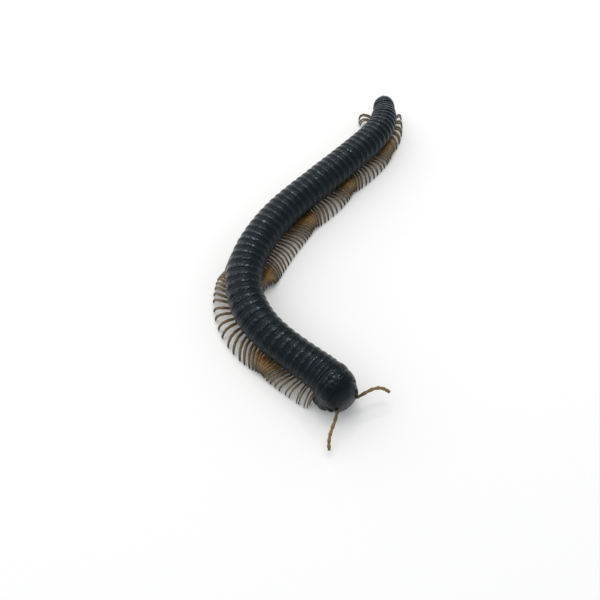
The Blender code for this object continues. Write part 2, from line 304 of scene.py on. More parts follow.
def shell_paint(name, deep, worn, striae, relief, shine):
    """Black chitin: striae is how deep the flanks' lines are, relief the dents, shine the mirror light."""
    paint = Paint(name, Metallic=0.0, IOR=1.5, Specular_IOR_Level=shine, Specular_Tint=SHINE_TINT,
                  Coat_Roughness=0.10)
    ring_number = paint.mapped(SHELL_MAP, "X")
    ring_share = ring_number.fraction()
    down = paint.mapped(SHELL_MAP, "Y")
    cloud = paint.noise(260.0)
    fine = paint.noise(2600.0, 4.0)
    dents = paint.noise(1700.0, 2.0)
    waves = paint.noise(620.0, 1.0)
    pricks = paint.pits(3400.0)
    rim = ring_share.step(0.9, 0.985)
    groove = 1 - ring_share.step(0.02, 0.12)
    colour = paint.blend_colours(cloud.step(0.35, 0.7), deep, worn)
    colour = paint.blend_colours(rim * 0.35, colour, RIM_BROWN)
    # Painted shade: the groove under the lip of the ring ahead is coloured a flat grey-black.
    colour = paint.blend_colours(groove * 0.6, colour, GROOVE_SHADE)
    paint.set("Base Color", colour)
    paint.set("Roughness", cloud * 0.14 + fine * 0.10 + groove * 0.2 + 0.04)
    # The coat lies on the rear hoop, short of its rim, and fades where the back turns into the flank.
    rear_hoop = ring_share.step(0.44, 0.60) * (1 - ring_share.step(0.84, 0.96))
    polished = rear_hoop * (1 - down.step(2.0, 4.6) * 0.88)
    tailwards = ring_number.step(16.0, 26.0)
    paint.set("Coat Weight", polished * (dents.step(0.50, 0.64) * 0.85 + tailwards * 0.15 + 0.03))
    # Fine lines run along the flanks of the rear hoop, and others round the front hoop.
    lines = (down * 14.0).sine() * down.step(5.2, 6.6) * ring_share.step(0.44, 0.52) * striae
    hoops = (ring_share * 95.0).sine() * (1 - ring_share.step(0.34, 0.4)) * 0.10
    height = dents + waves * 1.3 + fine * 0.10 + pricks.step(0.0, 0.35) * 0.12 + lines + hoops * 0.7
    paint.bump(height, relief * MM)
    return paint.material


SHELL = shell_paint("shell_black", (0.0026, 0.0050, 0.0068, 1.0), (0.0052, 0.0084, 0.0108, 1.0),
                    striae=0.3, relief=0.08, shine=0.155)
COLLAR = shell_paint("collar_black", (0.0022, 0.0046, 0.0064, 1.0), (0.0048, 0.0078, 0.0102, 1.0),
                     striae=0.0, relief=0.10, shine=0.12)
print("paints:", SHELL.name, COLLAR.name)

# %% [markdown]
# ## Finishing a piece
#
# Each piece is made straight first. Before it is bent, its own map is written from the straight
# coordinates, because that is the only time when "how far round the body" is easy to say.

# %% Helpers for every piece
WELD = 0.002 * MM


def write_map(bm, name, along, across):
    """Writes a map whose axes are two functions of a vertex."""
    layer = bm.loops.layers.uv.new(name)
    known = {vert: (along(vert.co), across(vert.co)) for vert in bm.verts}
    for face in bm.faces:
        for loop in face.loops:
            loop[layer].uv = known[loop.vert]


def lay_along(bm):
    """Bends a straight piece onto the middle line."""
    for vert in bm.verts:
        vert.co = place(*vert.co)


def finish_piece(name, bm, paints, nodes):
    """Makes a piece of a bmesh in its final place, hangs it on the root and hides the solids it stands for.
    """
    mesh = bpy.data.meshes.new(name)
    bm.to_mesh(mesh)
    bm.free()
    for paint in paints:
        mesh.materials.append(paint)
    mesh.shade_smooth()
    piece = bpy.data.objects.new(name, mesh)
    bpy.context.scene.collection.objects.link(piece)
    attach(piece, "root")
    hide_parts(*nodes)
    print(name, len(mesh.polygons), "faces")


def turn_profile(profile, sides):
    """Spins rows of (s, radius) round the s axis into a closed body."""
    bm = bmesh.new()
    rows = [(profile[0][0], 0.0), *profile, (profile[-1][0], 0.0)]
    verts = [bm.verts.new((s, 0.0, radius)) for s, radius in rows]
    edges = [bm.edges.new(pair) for pair in zip(verts, verts[1:])]
    bmesh.ops.spin(bm, geom=verts + edges, cent=(0, 0, 0), axis=(1, 0, 0), angle=math.tau,
                   steps=sides, use_merge=True, use_duplicate=False)
    bmesh.ops.remove_doubles(bm, verts=bm.verts[:], dist=WELD)
    bmesh.ops.recalc_face_normals(bm, faces=bm.faces[:])
    return bm


# %% [markdown]
# ## The trunk's rings
#
# Each ring is two hoops in one: a narrow front hoop that slides under the ring ahead, and a wider,
# polished rear hoop with a lip that hangs over the next ring. A surface of revolution is the right
# tool: one outline, drawn once, is spun round the axis. The outline repeats for each ring, with its
# own length and a slightly different fullness, because no two rings of a living animal match. The
# belly is then pressed flatter, and the whole length is bent.

# %% One ring's outline
# Share of the ring's length, and share of the body's radius.
RING_OUTLINE = ((0.00, 0.915), (0.09, 0.930), (0.20, 0.945), (0.31, 0.944), (0.37, 0.930), (0.42, 0.946),
                (0.49, 0.974), (0.58, 0.995), (0.70, 1.006), (0.82, 1.005), (0.92, 0.994), (0.985, 0.976),
                (1.012, 0.957), (1.004, 0.932))
# How strong that relief is, by ring: the front rings are the smoothest.
RING_RELIEF = ((2, 0.5), (12, 0.55), (20, 0.7), (30, 0.8), (60, 0.85))
RING_SIDES = 60
BELLY_PRESS_FROM = 0.78
BELLY_PRESS = 0.62
# A run slips under the ring ahead by this much, at this share of the radius.
TUCK_UNDER = 0.35 * MM
TUCK_SHARE = 0.92
RING_SEED = 11
UNEVEN = 0.006
chance_rings = random.Random(RING_SEED)
RING_FULLNESS = {ring: 1 + chance_rings.uniform(-UNEVEN, UNEVEN)
                 for ring in range(FIRST_TRUNK_RING, RING_COUNT + 1)}


def trunk_outline(first, last):
    """The outline of a run of rings as rows of (s, radius)."""
    rows = []
    for ring in range(first, last + 1):
        start = RING_START[ring]
        pitch = RING_START[ring + 1] - start
        if ring == first:
            rows.append((start - TUCK_UNDER, TUCK_SHARE * girth_at(start)))
        for share, fullness in RING_OUTLINE:
            s = start + share * pitch
            fullness = 1 + (fullness - 1) * from_table(RING_RELIEF, ring)
            rows.append((s, fullness * RING_FULLNESS[ring] * girth_at(s)))
    return rows


def press_belly(bm):
    """Flattens the underside softly and lifts the body to its height above the floor."""
    for vert in bm.verts:
        s, _, up = vert.co
        radius = girth_at(s)
        depth = -up / radius
        if depth > BELLY_PRESS_FROM:
            depth = BELLY_PRESS_FROM + (depth - BELLY_PRESS_FROM) * BELLY_PRESS
        vert.co.z = BELLY_HEIGHT + radius - depth * radius


def down_the_flank(co):
    """Distance in millimetres from the middle of the back round to a point."""
    s, r, z = co
    radius = girth_at(s)
    return abs(math.atan2(r, z - BELLY_HEIGHT - radius)) * radius / MM


print("points in a ring's outline:", len(RING_OUTLINE))

# %% [markdown]
# On each side of every ring from the sixth on there is a pore, through which the animal lets out
# its defence fluid. It is a pit the size of a pin prick. A Boolean cut would be slow for a hundred
# pits: here the face that lies where the pore belongs is inset and its middle pushed in.

# %% The pores
FIRST_PORE_RING = 6
PORE_SHARE = 0.455
PORE_ANGLE = 72.0
PORE_RIM = 0.07 * MM
PORE_FUNNEL = PORE_RIM * 0.4
PORE_DEPTH = 0.14 * MM
# Faces nearer to the middle of the back than this aren't searched.
PORE_CLEARANCE = 3 * MM


def pore_faces(bm, first, last):
    """The face nearest to each pore's place, on the straight and still round body."""
    angle = math.radians(PORE_ANGLE)
    wanted = []
    for ring in range(max(first, FIRST_PORE_RING), last + 1):
        s = RING_START[ring] + PORE_SHARE * (RING_START[ring + 1] - RING_START[ring])
        radius = girth_at(s)
        for side in (1, -1):
            wanted.append(Vector((s, side * radius * math.sin(angle), radius * math.cos(angle))))
    centres = [(face.calc_center_median(), face) for face in bm.faces]
    near = [(centre, face) for centre, face in centres if centre.z > 0 and abs(centre.y) > PORE_CLEARANCE]
    return [min(near, key=lambda pair: (pair[0] - spot).length_squared)[1] for spot in wanted]


def sink_pores(bm, first, last):
    """Sinks the pores of a run of rings and returns how many there are."""
    faces = pore_faces(bm, first, last)
    if faces:
        bmesh.ops.inset_individual(bm, faces=faces, thickness=PORE_RIM, depth=0.0)
        bmesh.ops.inset_individual(bm, faces=faces, thickness=PORE_FUNNEL, depth=-PORE_DEPTH)
    return len(faces)


# %% Make the trunk's rings
for number, first_ring, last_ring in trunk_runs():
    hoops = turn_profile(trunk_outline(first_ring, last_ring), RING_SIDES)
    pores = sink_pores(hoops, first_ring, last_ring)
    press_belly(hoops)
    write_map(hoops, SHELL_MAP, lambda co: ring_at(co[0]), down_the_flank)
    lay_along(hoops)
    finish_piece(f"rings_{number}", hoops, [SHELL], [f"trunk_{number}"])
    print("rings", first_ring, "to", last_ring, "with", pores, "pores")

# %% [markdown]
# ## The legs
#
# More than two hundred legs stand in waves, as in walking: here and there they draw together and
# lift. Each leg is an arch: it leaves the belly, rises beside the body and comes down to a point. As
# the shape is repeated so often, a leg has only a few dozen faces. One straight leg is modelled once,
# as a six-sided rod that swells twice and then tapers, and a loop bends copies of it along their own
# paths. The paint gives the leg its joints.

# %% Where each leg stands
FIRST_DOUBLE_RING = 5
LAST_LEG_RING = 58
# Where a leg is rooted, as a share of its ring. A double ring has two pairs.
LEG_SEATS = (0.21, 0.67)
ONE_LEG_SEAT = 0.55
# Ring, and how far out its feet stand, in millimetres.
REACH = ((2, 5.8), (4, 7.3), (9, 8.4), (15, 8.9), (20, 9.2), (28, 9.1), (36, 8.7), (43, 7.6), (52, 7.4),
         (58, 6.6))
# Ring, and how far its feet trail towards the tail, in millimetres.
TAIL_LEAN = ((52, 0.0), (58.7, 3.9))
# Ring, and share of that reach: TUCK on the left side, SPREAD on the right.
TUCK = ((3, 0.78), (9, 0.74), (13, 0.6), (19, 0.56), (21.5, 1.0))
SPREAD = ((20, 1.0), (22.5, 0.84), (30, 0.8), (40, 0.85), (50, 1.0), (54, 0.9), (56.5, 0.95), (57.5, 1.2))
# Where along the body the feet draw together. From one such place to the next is one wave.
BUNCHES = (-7.0 * MM, 17.0 * MM, 45.5 * MM, 75.5 * MM, 95.5 * MM, 117.5 * MM, 139.0 * MM)
WAVE_LEAN = 0.135
WAVE_LIFT = 0.9 * MM
WAVE_REACH = 0.07
# Ring, and how much a double ring's two feet on a side draw together, from 0 to 1.
PAIRING = ((5.8, 0.9), (7.4, 0.0), (53, 0.0), (55, 0.8))
PAIR_SEAT = 0.44
LEG_JITTER = 0.08 * MM
FRONT_LIMIT = 0.65 * MM
# From this ring on the legs of the right side count as uncrowded and get no painted glow.
UNCROWDED_FROM_RING = 17
CROWD_SOFTNESS = 0.6
LEG_SEED = 7
# Share of the reach, height in millimetres and share of the lean.
LEG_WAY = ((0.08, 3.2, 0.0), (0.22, 3.1, 0.05), (0.42, 3.5, 0.16), (0.62, 3.75, 0.36), (0.80, 3.45, 0.62),
           (0.92, 2.4, 0.84), (0.985, 1.1, 0.96), (1.0, 0.03, 1.0))


def leg_root(ring, seat):
    """Where along the body a leg is rooted, and how many waves lie before it."""
    start = RING_START[ring]
    root = start + seat * (RING_START[ring + 1] - start)
    return root, np.interp(root, BUNCHES, range(len(BUNCHES)))


def leg_way(ring, seat, side, chance):
    """The points of one leg beside the straight body, from the belly to its tip."""
    root, waves = leg_root(ring, seat)
    here = ring + seat
    phase = math.tau * waves
    length = BUNCHES[int(waves) + 1] - BUNCHES[int(waves)]
    lean = -WAVE_LEAN * length * math.sin(phase) + chance.uniform(-1, 1) * LEG_JITTER
    if ring >= FIRST_DOUBLE_RING:
        lean += from_table(PAIRING, here) * (PAIR_SEAT - seat) * (RING_START[ring + 1] - RING_START[ring])
    lean = max(lean, FRONT_LIMIT - root) + from_table(TAIL_LEAN, here) * MM
    lift = WAVE_LIFT * max(0.0, math.cos(phase))
    reach = from_table(REACH, here) * MM * (1 - WAVE_REACH * math.cos(phase))
    reach *= from_table(TUCK if side < 0 else SPREAD, here)
    return [Vector((root + lean * leaning, side * out * reach, height * MM + lift * leaning))
            for out, height, leaning in LEG_WAY]


def crowding(ring, seat, side):
    """1 where feet draw together, 0 where they spread, and 0 on the right side from one ring on."""
    if side > 0 and ring >= UNCROWDED_FROM_RING:
        return 0.0
    _, waves = leg_root(ring, seat)
    return max(0.0, math.cos(math.tau * waves)) ** CROWD_SOFTNESS


def smooth_way(points, shares):
    """Points at the given shares of a rounded way through the given points."""
    made = []
    for share in shares:
        t = share * (len(points) - 1)
        i = min(int(t), len(points) - 2)
        t -= i
        a, b, c, d = (points[min(max(i + k, 0), len(points) - 1)] for k in (-1, 0, 1, 2))
        bow = 2 * a - 5 * b + 4 * c - d
        swing = 3 * b - a - 3 * c + d
        made.append(0.5 * (2 * b + (c - a) * t + bow * t * t + swing * t ** 3))
    return made


print("first leg's foot:", leg_way(FIRST_TRUNK_RING, ONE_LEG_SEAT, 1, random.Random(LEG_SEED))[-1])

# %% [markdown]
# The legs are amber near the belly: their own colour, with the glow of light shining through them
# painted in, browner along their length and dark at the tip. A leg is thin, so its paint lets some
# light in below the surface: Subsurface does that, as a plain value on the shader. The first axis of
# the leg's map runs from 0 at the belly to 1 at the tip, and the second says how crowded the legs
# are there: where they crowd, the amber is painted further down each leg, as the glow of light
# that shines through several legs.

# %% The paint of legs and antennae
LIMB_MAP = "limb_map"
LIMB_JOINTS = 7.0
GRAIN_DEPTH = 0.02 * MM


def limb_paint(name, root, middle, tip):
    """Translucent brown limbs, with a dark ring at each joint from root to tip."""
    paint = Paint(name, Metallic=0.0, IOR=1.5, Specular_IOR_Level=0.22, Subsurface_Weight=0.25,
                  Subsurface_Scale=0.6 * MM, Subsurface_Radius=(1.0, 0.45, 0.15))
    along = paint.mapped(LIMB_MAP, "X")
    crowd_glow = paint.mapped(LIMB_MAP, "Y")
    grain = paint.noise(1500.0, 3.0)
    # Painted glow: where legs crowd, the amber of the root reaches further down the leg.
    colour = paint.blend_colours((along - crowd_glow * 0.4).step(0.08, 0.42), root, middle)
    colour = paint.blend_colours(along.step(0.66, 0.96), colour, tip)
    colour = paint.blend_colours((along * LIMB_JOINTS).fraction().step(0.86, 1.0) * 0.4, colour, tip)
    colour = paint.blend_colours(grain.step(0.4, 0.75) * 0.3, colour, tip)
    paint.set("Base Color", colour)
    paint.set("Roughness", grain * 0.2 + 0.45)
    paint.bump(grain, GRAIN_DEPTH, 0.5)
    return paint.material


LEG = limb_paint("leg_amber", root=(0.27, 0.142, 0.048, 1.0), middle=(0.165, 0.114, 0.062, 1.0),
                 tip=(0.042, 0.034, 0.024, 1.0))
ANTENNA = limb_paint("antenna_olive", root=(0.085, 0.060, 0.034, 1.0), middle=(0.225, 0.148, 0.056, 1.0),
                     tip=(0.180, 0.118, 0.046, 1.0))
print("paints:", LEG.name, ANTENNA.name)

# %% One straight leg
LEG_SIDES = 6
LEG_RADIUS = 0.41 * MM
# Ring, and share of the full thickness.
LEG_SIZE = ((2, 0.62), (6, 0.66), (8, 0.95), (14, 0.92), (22, 1.0), (46, 1.0), (58, 0.8))
# Share of the way and of the thickness: a leg swells twice and tapers to its tip.
LEG_SWELLS = ((0.0, 1.0), (0.14, 1.10), (0.30, 0.98), (0.46, 1.04), (0.60, 0.94), (0.74, 0.90), (0.86, 0.76),
              (0.95, 0.58), (1.0, 0.16))


def straight_rod(swells, sides):
    """A closed rod of unit length along x, whose thickness follows rows of (share, thickness)."""
    bm = bmesh.new()
    layer = bm.loops.layers.uv.new(LIMB_MAP)
    rim = bmesh.ops.create_circle(bm, segments=sides, radius=swells[0][1], cap_ends=True)["verts"]
    bmesh.ops.rotate(bm, cent=(0, 0, 0), matrix=Matrix.Rotation(math.pi / 2, 3, "Y"), verts=rim)
    front = bm.faces[:]
    for (share, thickness), (last_share, last_thickness) in zip(swells[1:], swells):
        # The first cap stays where it is, so that the rod is closed at its root.
        at_root = last_share == swells[0][0]
        made = bmesh.ops.extrude_face_region(bm, geom=front, use_keep_orig=at_root)["geom"]
        front = [part for part in made if isinstance(part, bmesh.types.BMFace)]
        verts = front[0].verts[:]
        bmesh.ops.scale(bm, vec=(1, thickness / last_thickness, thickness / last_thickness), verts=verts)
        bmesh.ops.translate(bm, vec=(share - last_share, 0, 0), verts=verts)
    bmesh.ops.recalc_face_normals(bm, faces=bm.faces[:])
    for face in bm.faces:
        for loop in face.loops:
            loop[layer].uv = (loop.vert.co.x, 0.0)
    return bm


def lay_rod(bm, verts, points, radius):
    """Bends a straight unit rod along a way: its x becomes the share of the way."""
    shares = sorted({round(vert.co.x, 4) for vert in verts})
    centres = smooth_way(points, shares)
    frames = {}
    for i, share in enumerate(shares):
        ahead = centres[min(i + 1, len(centres) - 1)] - centres[max(i - 1, 0)]
        side = ahead.normalized().cross(Vector((0, 0, 1)))
        # A way that runs straight up has no sideways direction of its own.
        side = side.normalized() if side.length > 0.05 else Vector((1, 0, 0))
        frames[share] = (centres[i], side, side.cross(ahead.normalized()))
    for vert in verts:
        centre, side, up = frames[round(vert.co.x, 4)]
        vert.co = centre + side * vert.co.y * radius + up * vert.co.z * radius


def copy_of(bm, mesh):
    """Adds a mesh to a bmesh and returns the new vertices."""
    known = set(bm.verts)
    bm.from_mesh(mesh)
    return [vert for vert in bm.verts if vert not in known]


def limb_map_at(bm, verts):
    """The entries of the limbs' map at the faces of the given vertices."""
    layer = bm.loops.layers.uv.active
    faces = {face for vert in verts for face in vert.link_faces}
    return [loop[layer] for face in faces for loop in face.loops]


def mark_crowding(bm, verts, value):
    """Writes the crowding into the second axis of the limbs' map."""
    for entry in limb_map_at(bm, verts):
        entry.uv.y = value


leg_mesh = bpy.data.meshes.new("straight_leg")
one_leg = straight_rod(LEG_SWELLS, LEG_SIDES)
one_leg.to_mesh(leg_mesh)
print("faces in a leg:", len(one_leg.faces))
one_leg.free()

# %% Make the legs
chance_legs = random.Random(LEG_SEED)
leg_total = 0
for number, first_ring, last_ring in trunk_runs():
    legs = bmesh.new()
    for ring in range(first_ring, min(last_ring, LAST_LEG_RING) + 1):
        for seat in LEG_SEATS if ring >= FIRST_DOUBLE_RING else (ONE_LEG_SEAT,):
            for side in (1, -1):
                way = leg_way(ring, seat, side, chance_legs)
                verts = copy_of(legs, leg_mesh)
                # The crowding steers the painted amber glow in the leg's colour.
                mark_crowding(legs, verts, crowding(ring, seat, side))
                lay_rod(legs, verts, way, LEG_RADIUS * from_table(LEG_SIZE, ring))
                leg_total += 1
    lay_along(legs)
    finish_piece(f"legs_{number}", legs, [LEG], [f"trunk_{number}"])
bpy.data.meshes.remove(leg_mesh)
print("legs:", leg_total)

# %% [markdown]
# ## The collar plate
#
# The first ring, the collum, has no legs. It is a smooth black saddle over the neck: domed above,
# with flanks that hang straight down on both sides of the head, a fine raised hem along its front
# and a shallow fold across its hind half. It is spun like the rings, and its underside is then
# squared, so that the flanks hang and don't curl in.

# %% Make the collar plate
# Millimetres forward of the second ring's front edge, and share of the body's radius.
COLLUM_OUTLINE = ((5.08, 0.82), (5.18, 0.85), (5.17, 0.866), (5.06, 0.882), (4.86, 0.899), (4.66, 0.915),
                  (4.30, 0.945), (3.70, 0.972), (3.10, 0.988), (2.65, 0.990), (2.38, 0.976), (2.15, 0.972),
                  (1.95, 0.982), (1.55, 1.000), (0.95, 1.004), (0.45, 0.992), (0.10, 0.978),
                  (-0.22, 0.966), (-0.32, 0.955), (-0.30, 0.93), (-0.10, 0.90))
COLLUM_SIDES = 72
COLLUM_BELLY = 0.97
COLLUM_SQUARENESS = 0.25
COLLUM_FLARE = 0.2


def hang_flanks(bm):
    """Squares the lower half of the collar plate and lifts it to its height."""
    for vert in bm.verts:
        s, r, up = vert.co
        out = math.hypot(r, up)
        if up < 0:
            r = math.copysign(out * (abs(r) / out) ** COLLUM_SQUARENESS * (1 - COLLUM_FLARE * up / out), r)
            up = -out * (-up / out) ** COLLUM_SQUARENESS
        radius = girth_at(s)
        vert.co = (s, r, BELLY_HEIGHT + radius + max(up, -COLLUM_BELLY * radius))


collum_rows = [(-forward * MM, share * girth_at(0.0)) for forward, share in COLLUM_OUTLINE]
collum = turn_profile(collum_rows, COLLUM_SIDES)
hang_flanks(collum)
# The share of a ring grows forward here, so the front hem takes the brown of a rim.
write_map(collum, SHELL_MAP, lambda co: 1.42 - 0.11 * co[0] / MM, down_the_flank)
lay_along(collum)
finish_piece("collum_plate", collum, [COLLAR], ["collum"])

# %% [markdown]
# ## The head capsule
#
# The head is a hard rounded box that looks down and forward. From the front it is pear-shaped:
# narrow at the crown and wide at the cheeks. It could be sculpted, but a loft is easier to measure:
# closed outlines stand one behind the other, and bridging joins them into a skin. The outlines'
# sizes are smoothed between a few named sections, so a handful of numbers gives a fair surface.

# %% Loft the head
# Forward, height of the middle, half width and half height, in millimetres.
HEAD_SECTIONS = ((4.3, 7.62, 4.56, 4.76), (5.2, 7.50, 4.70, 4.94), (6.0, 7.08, 4.48, 4.78),
                 (6.6, 6.58, 4.12, 4.46), (7.1, 6.1, 3.68, 4.0), (7.6, 5.6, 2.85, 3.25),
                 (7.86, 5.25, 1.7, 2.1), (7.95, 5.1, 0.6, 0.8))
HEAD_SIDES = 72
HEAD_ROWS = 26
HEAD_TAPER = 0.15
LABRUM_NOTCH_DEPTH = 0.5 * MM
LABRUM_NOTCH_WIDTH = 0.45 * MM
LIP_EDGE_HEIGHT = 3.7 * MM
LIP_EDGE_DEPTH = 0.10 * MM
CROWN_SEAM_DEPTH = 0.07 * MM
FACE_LINE_WIDTH = 0.16 * MM


def head_point(forward, right, height):
    """A point in millimetres forward of the second ring's front edge, right and up, still straight."""
    return Vector((-forward * MM, right * MM, height * MM))


def head_sections():
    """The named sections and smooth ones between them."""
    points = [Vector(row[:3]) for row in HEAD_SECTIONS]
    heights = [Vector((row[3], 0, 0)) for row in HEAD_SECTIONS]
    shares = [i / (HEAD_ROWS - 1) for i in range(HEAD_ROWS)]
    rows = zip(smooth_way(points, shares), smooth_way(heights, shares))
    return [(*point, height.x) for point, height in rows]


def loft_head():
    """The head's outlines, bridged into a closed skin."""
    bm = bmesh.new()
    loops = []
    for forward, height, half_width, half_height in head_sections():
        circle = bmesh.ops.create_circle(bm, segments=HEAD_SIDES, radius=1.0)["verts"]
        loops.append(list({edge for vert in circle for edge in vert.link_edges}))
        for vert in circle:
            x, y, _ = vert.co
            wide = half_width * (1 - HEAD_TAPER * y)
            vert.co = head_point(forward, x * wide, height + y * half_height)
    for near, far in zip(loops, loops[1:]):
        bmesh.ops.bridge_loops(bm, edges=near + far)
    bmesh.ops.holes_fill(bm, edges=[edge for edge in bm.edges if edge.is_boundary], sides=0)
    bmesh.ops.recalc_face_normals(bm, faces=bm.faces[:])
    return bm


def shape_face(bm):
    """Presses in the lip's notch, the edge of the upper lip and a fine seam along the crown."""
    for vert in bm.verts:
        s, r, z = vert.co
        forward = -s / MM
        low = smoothstep((3.6 * MM - z) / (1.6 * MM)) * smoothstep((forward - 6.0) / 1.2)
        vert.co.z += LABRUM_NOTCH_DEPTH * low * math.exp(-(r / LABRUM_NOTCH_WIDTH) ** 2)
        seam = math.exp(-((z - LIP_EDGE_HEIGHT) / FACE_LINE_WIDTH) ** 2) * smoothstep(forward - 6.0)
        vert.co.x += LIP_EDGE_DEPTH * seam
        crown = math.exp(-(r / FACE_LINE_WIDTH) ** 2) * smoothstep((z - 7.5 * MM) / (2.0 * MM))
        vert.co.z -= CROWN_SEAM_DEPTH * crown


def map_as_hoop(bm, number, slope=0.01):
    """Maps a piece that is no ring onto the middle of one, so that it has neither groove nor rim."""
    write_map(bm, SHELL_MAP, lambda co: number + slope * co[0] / MM, lambda co: abs(co[1]) / MM)


head = loft_head()
shape_face(head)
map_as_hoop(head, 1.5)
lay_along(head)
finish_piece("head_capsule", head, [COLLAR], ["head"])

# %% [markdown]
# ## The eyes
#
# A millipede has no large eyes. On each side of the head is a dark patch of some forty simple
# eyes, each a tiny glossy dome. The patch is an ellipsoid let into the head, and the domes are
# small flattened spheres in rows on it. A ray is cast square to the patch for each, so that it sits
# on the curve wherever that lies.

# %% Make the eyes
# Middle and half sizes of the patch, as (forward, outward, up) in millimetres, and its turn in degrees.
EYE_PATCH = ((6.5, 3.45, 7.3), (0.95, 0.55, 0.85))
EYE_TURN = 35.0
# How far out from the patch's middle the rays start, in millimetres.
EYE_RAY = 3.0
# Height of a row as a share of the patch's half height, and how many domes it has.
DOME_ROWS = ((-0.66, 5), (-0.40, 7), (-0.13, 8), (0.14, 8), (0.41, 7), (0.68, 5))
DOME_PITCH = 0.235
DOME_RADIUS = 0.11
EYE_DEEP = (0.004, 0.004, 0.005, 1.0)
EYE_HAZE = (0.012, 0.009, 0.007, 1.0)
EYE = Paint("eye_black", Base_Color=EYE_DEEP, Roughness=0.22, Specular_IOR_Level=0.3)
EYE.set("Base Color", EYE.blend_colours(EYE.noise(3000.0).step(0.3, 0.7), EYE_DEEP, EYE_HAZE))


def ellipsoid(piece, side, segments, rings, turn=0.0):
    """A rounded piece of the head: its middle and half sizes as (forward, outward, up), and its turn."""
    (forward, right, height), (along, across, upright) = piece
    cosine, sine = math.cos(math.radians(turn)), math.sin(math.radians(turn))
    bm = bmesh.new()
    bmesh.ops.create_uvsphere(bm, u_segments=segments, v_segments=rings, radius=1.0)
    for vert in bm.verts:
        ahead, out = vert.co.x * along, vert.co.y * across
        onward = forward + ahead * cosine + out * sine
        outward = right - ahead * sine + out * cosine
        vert.co = head_point(onward, side * outward, height + vert.co.z * upright)
    bmesh.ops.recalc_face_normals(bm, faces=bm.faces[:])
    return bm


def add_dome(bm, spot, normal, radius):
    """A small sphere centred on a spot of the surface, a little flattened along the normal."""
    turn = normal.to_track_quat("Z", "Y").to_matrix().to_4x4()
    matrix = Matrix.Translation(spot) @ turn @ Matrix.Diagonal((1, 1, 0.8, 1))
    bmesh.ops.create_uvsphere(bm, u_segments=8, v_segments=6, radius=radius, matrix=matrix)


cosine, sine = math.cos(math.radians(EYE_TURN)), math.sin(math.radians(EYE_TURN))
for side, word in SIDES:
    eye = ellipsoid(EYE_PATCH, side, 24, 16, EYE_TURN)
    skin = BVHTree.FromBMesh(eye)
    domes = 0
    for lift, count in DOME_ROWS:
        for i in range(count):
            step = (i - (count - 1) / 2) * DOME_PITCH
            forward = EYE_PATCH[0][0] + step * cosine + EYE_RAY * sine
            outward = EYE_PATCH[0][1] - step * sine + EYE_RAY * cosine
            spot = head_point(forward, side * outward, EYE_PATCH[0][2] + lift * EYE_PATCH[1][2])
            hit, normal, _, _ = skin.ray_cast(spot, head_point(-sine, -side * cosine, 0.0))
            if hit:
                add_dome(eye, hit, normal, DOME_RADIUS * MM)
                domes += 1
    lay_along(eye)
    finish_piece("ocelli_" + word, eye, [EYE.material], ["eye_" + word])
    print("domes:", domes)

# %% [markdown]
# ## Mandibles and chin plate
#
# The cheeks are the bases of the mandibles: big smooth plates that bulge beside the mouth, each
# with a seam across it. Below the mouth lies the chin plate, a shield of several fused pieces with
# seams between them and four small blunt feelers at its front edge. Each is an ellipsoid with its
# seams pressed in, because nothing on them is flat.

# %% Make the mandibles and the chin plate
# Middle and half sizes, as (forward, outward, up) in millimetres.
MANDIBLE = ((5.3, 3.45, 4.9), (1.9, 1.5, 1.6))
CHIN_PLATE = ((6.6, 0.0, 2.8), (1.2, 1.25, 0.8))
SEAM_WIDTH = 0.11 * MM
SEAM_DEPTH = 0.09 * MM
# The chin's two long seams run this far beside its middle, and its cross seam this far behind it.
CHIN_SEAM_OUT = 0.52 * MM
CHIN_SEAM_BACK = 0.25 * MM
CHEEK_SEAM_FORWARD = 0.25 * MM
PALPS = (-0.8, -0.35, 0.35, 0.8)
PALP_FORWARD = 7.62
PALP_HEIGHT = 2.6
PALP_RADIUS = 0.17 * MM
HORN = shell_paint("horn_dark", (0.0040, 0.0052, 0.0060, 1.0), (0.0080, 0.0092, 0.0100, 1.0),
                   striae=0.0, relief=0.10, shine=0.12)


def score(bm, centre, distance):
    """Presses a seam into a rounded piece, along the line where a distance is zero."""
    for vert in bm.verts:
        inward = (centre - vert.co).normalized()
        vert.co += inward * SEAM_DEPTH * math.exp(-(distance(vert.co) / SEAM_WIDTH) ** 2)


for side, word in SIDES:
    cheek = ellipsoid(MANDIBLE, side, 40, 28)
    middle = head_point(MANDIBLE[0][0], side * MANDIBLE[0][1], MANDIBLE[0][2])
    score(cheek, middle, lambda co: (co.x - middle.x) * 0.9 + (co.z - middle.z) * 0.45 + CHEEK_SEAM_FORWARD)
    map_as_hoop(cheek, 1.5)
    lay_along(cheek)
    finish_piece("cheek_" + word, cheek, [HORN], ["mandible_" + word])

chin = ellipsoid(CHIN_PLATE, 1, 48, 28)
middle = head_point(*CHIN_PLATE[0])
score(chin, middle, lambda co: abs(co.y) - CHIN_SEAM_OUT)
score(chin, middle, lambda co: co.x - middle.x - CHIN_SEAM_BACK - 0.4 * abs(co.y))
for across in PALPS:
    spot = head_point(PALP_FORWARD - 0.25 * across * across, across, PALP_HEIGHT)
    add_dome(chin, spot, Vector((-1, 0, -0.4)), PALP_RADIUS)
map_as_hoop(chin, 1.6)
lay_along(chin)
finish_piece("chin_shield", chin, [HORN], ["chin_plate"])

# %% [markdown]
# ## The antennae
#
# An antenna has seven visible pieces, the articles. Each starts narrow and ends club-shaped, and
# sits in the cup of the one before. In life the animal taps the ground with them. One article is
# drawn out of a circle like the straight leg, copied for each place, and turned and stretched to fit
# between two joints. Fine hairs stand on the outer part of each, and four short cones at the tip.

# %% Where the antennae run
ANTENNA_ROOT = (7.4, 2.7, 5.6)
# Length of each article in millimetres, from the root.
ARTICLE_LENGTHS = (1.2, 2.05, 1.95, 1.85, 1.65, 1.4, 0.55)
ANTENNA_RADIUS = 0.49 * MM
